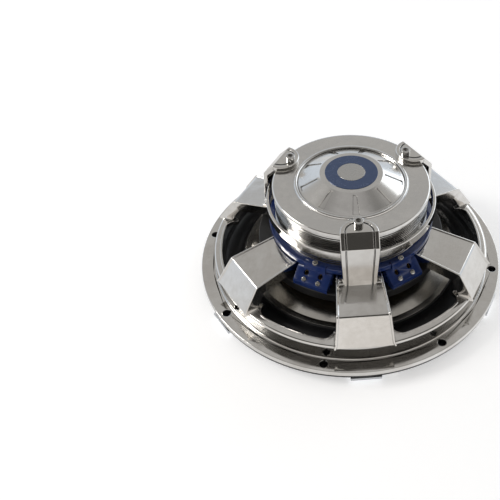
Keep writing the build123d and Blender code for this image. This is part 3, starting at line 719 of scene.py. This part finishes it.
def ears(angle):
    # Two small tabs at the foot, one on each side, on the strap's upper facet.
    (_, _), (kneeR, kneeZ), (hubR, hubZ) = strap["line"]
    slope = math.atan2(kneeZ - hubZ, kneeR - hubR)
    c, d = math.cos(slope), math.sin(slope)
    height = hubZ + math.tan(slope) * (arm["earRadius"] - hubR) + arm["earLift"]
    shells = []
    for s in (-1, 1):
        for points, faces in roundedBox(arm["earSize"], arm["earFillet"]):
            x = points[:, 0] * c - points[:, 2] * d
            z = points[:, 0] * d + points[:, 2] * c
            tilted = np.stack([x, points[:, 1], z], -1)
            place = placed(tilted, angle, arm["earRadius"], s * arm["earMiddle"], height)
            shells.append((place, faces))
    return shells


for k in range(3):
    angle = front + 120.0 * k
    piece = meshPiece(f"clampArmShape{k + 1}", [armShell(angle)] + ears(angle), 30)
    settle(piece, [f"clamp_arm_{k + 1}"], "plated_casting")
print("clamp made")

# Screws.


def socketHead(radius, low, high, socketFlats, socketDepth, edge, hidden=0.0):
    # Turned head whose socket wall is a hexagon: radius = half flats / cos(angle from the flat).
    count = 48
    a = np.arange(count) * 2 * math.pi / count
    hexagon = socketFlats / 2 / np.cos((a % (math.pi / 3)) - math.pi / 6)
    rim = softCorners([(0, low - hidden, 0), (radius, low - hidden, 0.05), (radius, high, edge),
                       (socketFlats / 2 + 0.5, high, 0)])
    rows = [np.stack([r * np.cos(a), r * np.sin(a), z + 0 * a], -1) for r, z in rim]
    bottom = high - socketDepth
    for scale, z in ((1.06, high), (1.0, high - 0.12), (1.0, bottom), (0.0, bottom - 0.3)):
        r = hexagon * scale
        rows.append(np.stack([r * np.cos(a), r * np.sin(a), z + 0 * a], -1))
    return gridShell(np.array(rows), False, True)


shells = []
for k in range(3):
    points, faces = socketHead(4.0, 99.5, 103.5, 4.2, 2.6, 0.45, 0.05)
    shells.append((placed(points, front + 120.0 * k, 56.8), faces))
settle(meshPiece("lugScrewShapes", shells, 35), ["clamp_lug_screws"], "bright_screw")
print("screws made")

# Front trim, clips and small fittings carried over with rounded edges.

carried("trimRingShape", "trim_ring", "gloss_black", 0.35)
carried("trimScrewShapes", "trim_ring_screws", "bright_screw", 0.15)
carried("footScrewShapes", "clamp_foot_screws", "bright_screw", 0.12)
for k in range(6):
    carried(f"trimClipShape{k + 1}", f"trim_clip_{k + 1}", "satin_clip", 0.35)
for side in ("left", "right"):
    carried(f"terminalBlockShape_{side}", f"terminal_block_{side}", "blue_plastic", 0.3)
    carried(f"terminalContactShapes_{side}", f"terminal_contacts_{side}", "brass_contact", 0.04)
    carried(f"terminalLinkScrewShape_{side}", f"terminal_link_screw_{side}", "bright_screw", 0.15)
    for k in (1, 2):
        carried(f"terminalClampScrewShape_{side}_{k}", f"terminal_clamp_screw_{side}_{k}",
                "bright_screw", 0.15, f"clamp_screw_{side}_{k}")
carried("terminalRingShape", "terminal_ring", "blue_plastic", 0.3)
print("fittings made")

# Moving assembly and suspension.

landing = turnedShell(
    [(58.0, 41.6, 0.3), (71.2, 41.6, 0.2), (71.2, 40.0, 0.2), (77.1, 40.0, 0.2), (77.1, 35.0, 0.4),
     (80.0, 35.0, 0.5), (80.0, 43.0, 0.9), (58.0, 43.0, 0.3)])
settle(meshPiece("landingRingShape", [landing]), ["spider_landing_ring"], "black_plastic")

dishRim = [(83.8 + 9.8 * math.sin(a), 11.5 + 5.9 * (1 - math.cos(a)), 0)
           for a in np.linspace(0, math.pi / 2, 13)]
dishOuter = [(0, 11.5, 0), (40.0, 11.5, 0), (80.0, 11.5, 0), (82.8, 11.5, 0)] + dishRim
dishInner = [(r - 0.9 if r > 84 else r, z + 0.9 if r < 93 else z, 0) for r, z, _ in dishOuter]
dish = gridShell(turnedGrid(softCorners(dishOuter + dishInner[::-1]), 300), False, True)
settle(meshPiece("frontDishShape", [dish]), ["front_dish"], "spun_aluminium", "cone_assembly")

coneCorners = [(93.4, 18.6, 0.2), (88.1, 18.6, 0.3), (26.9, 32.2, 0.4), (25.75, 32.2, 0.2),
               (25.75, 36.8, 0.2), (26.9, 36.8, 0.2), (26.9, 35.6, 0.3), (88.4, 19.4, 0.5),
               (93.4, 19.4, 0.2)]
cone = meshPiece("coneShape", [turnedShell(coneCorners, 300)])
settle(cone, ["cone"], "cone_metal", "cone_assembly")

roll = {"inner": 94.0, "outer": 115.0, "base": 16.2, "crest": 8.2, "skin": 1.2, "foot": 10.8,
        "ledge": 12.0, "footRadius": 121.7}


def rollArc(half, rise, endHeight):
    end = math.pi - math.asin((roll["base"] - endHeight) / rise)
    a = np.linspace(0, end, 40)
    middle = (roll["inner"] + roll["outer"]) / 2
    return [(middle - half * math.cos(x), roll["base"] - rise * math.sin(x), 0) for x in a]


def surroundShape():
    half, rise = (roll["outer"] - roll["inner"]) / 2, roll["base"] - roll["crest"]
    outer = rollArc(half, rise, roll["foot"])
    inner = rollArc(half - roll["skin"], rise - roll["skin"], roll["ledge"])
    corners = [(88.6, 17.4, 0.3), (93.9, 17.4, 0.8)] + outer
    corners += [(roll["footRadius"], roll["foot"], 0.2), (roll["footRadius"], roll["ledge"], 0.2)]
    corners += inner[::-1] + [(94.6, 18.6, 0.4), (88.6, 18.6, 0.3)]
    piece = meshPiece("surroundShape", [turnedShell(corners, 300)], 50)
    settle(piece, ["surround"], "surround_rubber", None)
    bendRadially(piece, 94.5, 106.5)


def bendRadially(piece, innerRadius, outerRadius):
    # Weight of the moving side: 1 at the inner radius, falling smoothly to 0 at the outer one.
    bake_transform(piece)
    co = np.empty(len(piece.data.vertices) * 3)
    piece.data.vertices.foreach_get("co", co)
    r = np.hypot(*co.reshape(-1, 3)[:, :2].T) / mm
    w = np.clip((outerRadius - r) / (outerRadius - innerRadius), 0, 1)
    w = w * w * (3 - 2 * w)


def spiderShape():
    r = np.linspace(28.7, 70.8, 181)
    wave = 40.0 + 1.3 * np.sin(2 * math.pi * 6 * (r - 28.7) / 42.1)
    top = [(25.75, 40.0, 0)] + [(a, b, 0) for a, b in zip(r, wave)] + [(76.8, 40.0, 0)]
    low = [(a, b - 0.7, 0) for a, b, _ in reversed(top)]
    piece = meshPiece("spiderShape", [turnedShell(top + low, 240)], 60)
    settle(piece, ["spider"], "spider_cloth", None)
    bendRadially(piece, 29.0, 70.0)


surroundShape()
spiderShape()
for node, slotName in (
    ("coil_former", "former_film"), ("coil_winding_inner", "copper_wire"),
    ("coil_winding_outer", "copper_wire"), ("front_plate", "plated_steel"),
    ("hub_bolts", "bright_screw"), ("magnet_ring", "magnet_ferrite"),
    ("back_plate_and_pole", "plated_steel"), ("shorting_sleeve", "copper_sheet"),
):
    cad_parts[node].data.materials.clear()
    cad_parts[node].data.materials.append(finishes[slotName])
print("moving parts made")

# Studio: pale floor seen from above only, soft sky, two panels.

studio = {
    "floorSize": 6.0, "floorColour": (0.88, 0.88, 0.885), "floorGlow": 0.46,
    "skyStrength": 1.0, "panelPower": 9.0, "rimPower": 3.0,
    "underPower": 7.0,
}


def floorMaterial():
    material = bpy.data.materials.new("paleFloor")
    material.use_nodes = True
    tree = material.node_tree
    surface = tree.nodes["Principled BSDF"]
    place = addNode(tree, "ShaderNodeTexCoord").outputs["Object"]
    cloud = addNode(tree, "ShaderNodeTexNoise", {"Vector": place, "Scale": 3.0, "Detail": 2.0})
    tint = addNode(tree, "ShaderNodeMix", {"Factor": cloud.outputs[0]}, data_type="RGBA")
    tint.inputs[6].default_value = (*studio["floorColour"], 1.0)
    tint.inputs[7].default_value = (0.90, 0.90, 0.90, 1.0)
    tree.links.new(tint.outputs[2], surface.inputs["Base Color"])
    surface.inputs["Roughness"].default_value = 0.9
    surface.inputs["Emission Color"].default_value = (1.0, 1.0, 1.0, 1.0)
    surface.inputs["Emission Strength"].default_value = studio["floorGlow"]
    clear = addNode(tree, "ShaderNodeBsdfTransparent")
    back = addNode(tree, "ShaderNodeNewGeometry").outputs["Backfacing"]
    both = addNode(tree, "ShaderNodeMixShader", {0: back})
    tree.links.new(surface.outputs[0], both.inputs[1])
    tree.links.new(clear.outputs[0], both.inputs[2])
    tree.links.new(both.outputs[0], tree.nodes["Material Output"].inputs["Surface"])
    return material


def makeFloor():
    half = studio["floorSize"] / 2
    mesh = bpy.data.meshes.new("floor")
    low = -0.4 * mm
    corners = [(-half, -half, low), (half, -half, low), (half, half, low), (-half, half, low)]
    mesh.from_pydata(corners, [], [(0, 1, 2, 3)])
    mesh.materials.append(floorMaterial())
    floor = bpy.data.objects.new("floor", mesh)
    bpy.context.scene.collection.objects.link(floor)
    floor.visible_glossy = False
    floor.visible_shadow = False


def makeSky():
    # Brightness by direction: pale band above the horizon, greyer overhead, darker below in front.
    world = bpy.data.worlds.new("sky")
    bpy.context.scene.world = world
    world.use_nodes = True
    tree = world.node_tree
    way = addNode(tree, "ShaderNodeTexCoord").outputs["Generated"]
    parts = addNode(tree, "ShaderNodeSeparateXYZ", {0: way})
    x, y, z = parts.outputs
    overhead = addNode(tree, "ShaderNodeMapRange", {"Value": z, "From Min": 0.42, "From Max": 0.58},
                       interpolation_type="SMOOTHSTEP").outputs[0]
    zenith = addNode(tree, "ShaderNodeMapRange", {"Value": z, "From Min": 0.86, "From Max": 0.97},
                     interpolation_type="SMOOTHSTEP").outputs[0]
    below = addNode(tree, "ShaderNodeMapRange", {"Value": z, "From Min": 0.03, "From Max": -0.12},
                    interpolation_type="SMOOTHSTEP").outputs[0]
    behind = addNode(tree, "ShaderNodeMapRange", {"Value": y, "From Min": -0.25, "From Max": 0.35},
                     interpolation_type="SMOOTHSTEP").outputs[0]
    right = addNode(tree, "ShaderNodeMapRange", {"Value": x, "From Min": 0.1, "From Max": 0.75},
                    interpolation_type="SMOOTHSTEP").outputs[0]

    def mixed(factor, a, b):
        node = addNode(tree, "ShaderNodeMix", {"Factor": factor}, data_type="RGBA")
        for index, colour in ((6, a), (7, b)):
            if hasattr(colour, "is_linked"):
                tree.links.new(colour, node.inputs[index])
            else:
                node.inputs[index].default_value = (*colour, 1.0)
        return node.outputs[2]

    band = mixed(behind, (0.84, 0.81, 0.78), (0.70, 0.76, 0.84))
    high = mixed(behind, (0.055, 0.052, 0.048), (0.45, 0.44, 0.425))
    high = mixed(zenith, high, (0.42, 0.41, 0.40))
    top = mixed(overhead, band, high)
    ground = mixed(right, (0.72, 0.71, 0.70), (0.86, 0.86, 0.86))
    full = mixed(below, top, ground)
    background = tree.nodes["Background"]
    tree.links.new(full, background.inputs["Color"])
    background.inputs["Strength"].default_value = studio["skyStrength"]


def makePanel(name, place, size, power, colour):
    light = bpy.data.lights.new(name, "AREA")
    light.shape = "RECTANGLE"
    light.size, light.size_y = size
    light.energy = power
    light.color = colour
    panel = bpy.data.objects.new(name, light)
    panel.location = place
    aim = Vector((0, 0, 0.05)) - Vector(place)
    panel.rotation_euler = aim.to_track_quat("-Z", "Y").to_euler()
    bpy.context.scene.collection.objects.link(panel)


camera = {
    "place": (-0.0487, -0.4759, 0.4912), "target": (0.0, 0.0, 0.058), "lens": 53.96,
    "shift": (-0.2019, -0.0707), "roll": 0.01,
}


def makeCamera():
    data = bpy.data.cameras.new("camera")
    data.lens = camera["lens"]
    data.sensor_width = 36.0
    data.shift_x, data.shift_y = camera["shift"]
    data.clip_start, data.clip_end = 0.01, 20.0
    eye = bpy.data.objects.new("camera", data)
    place, target = Vector(camera["place"]), Vector(camera["target"])
    aim = (target - place).to_track_quat("-Z", "Y").to_matrix()
    roll_ = Matrix.Rotation(camera["roll"], 3, "Z")
    eye.matrix_world = Matrix.Translation(place) @ (aim @ roll_).to_4x4()
    bpy.context.scene.collection.objects.link(eye)
    bpy.context.scene.camera = eye


makeFloor()
makeSky()
makePanel("keyPanel", (-1.3, 0.1, 1.0), (0.7, 0.5), studio["panelPower"], (1.0, 0.98, 0.95))
makePanel("rimPanel", (1.1, 1.0, 0.8), (1.1, 0.7), studio["rimPower"], (0.93, 0.97, 1.0))
makePanel("underPanel", (0.15, 0.45, -0.85), (0.28, 0.28), studio["underPower"], (1.0, 1.0, 1.0))
makeCamera()
bpy.context.scene.view_settings.view_transform = "Standard"
print("studio made")
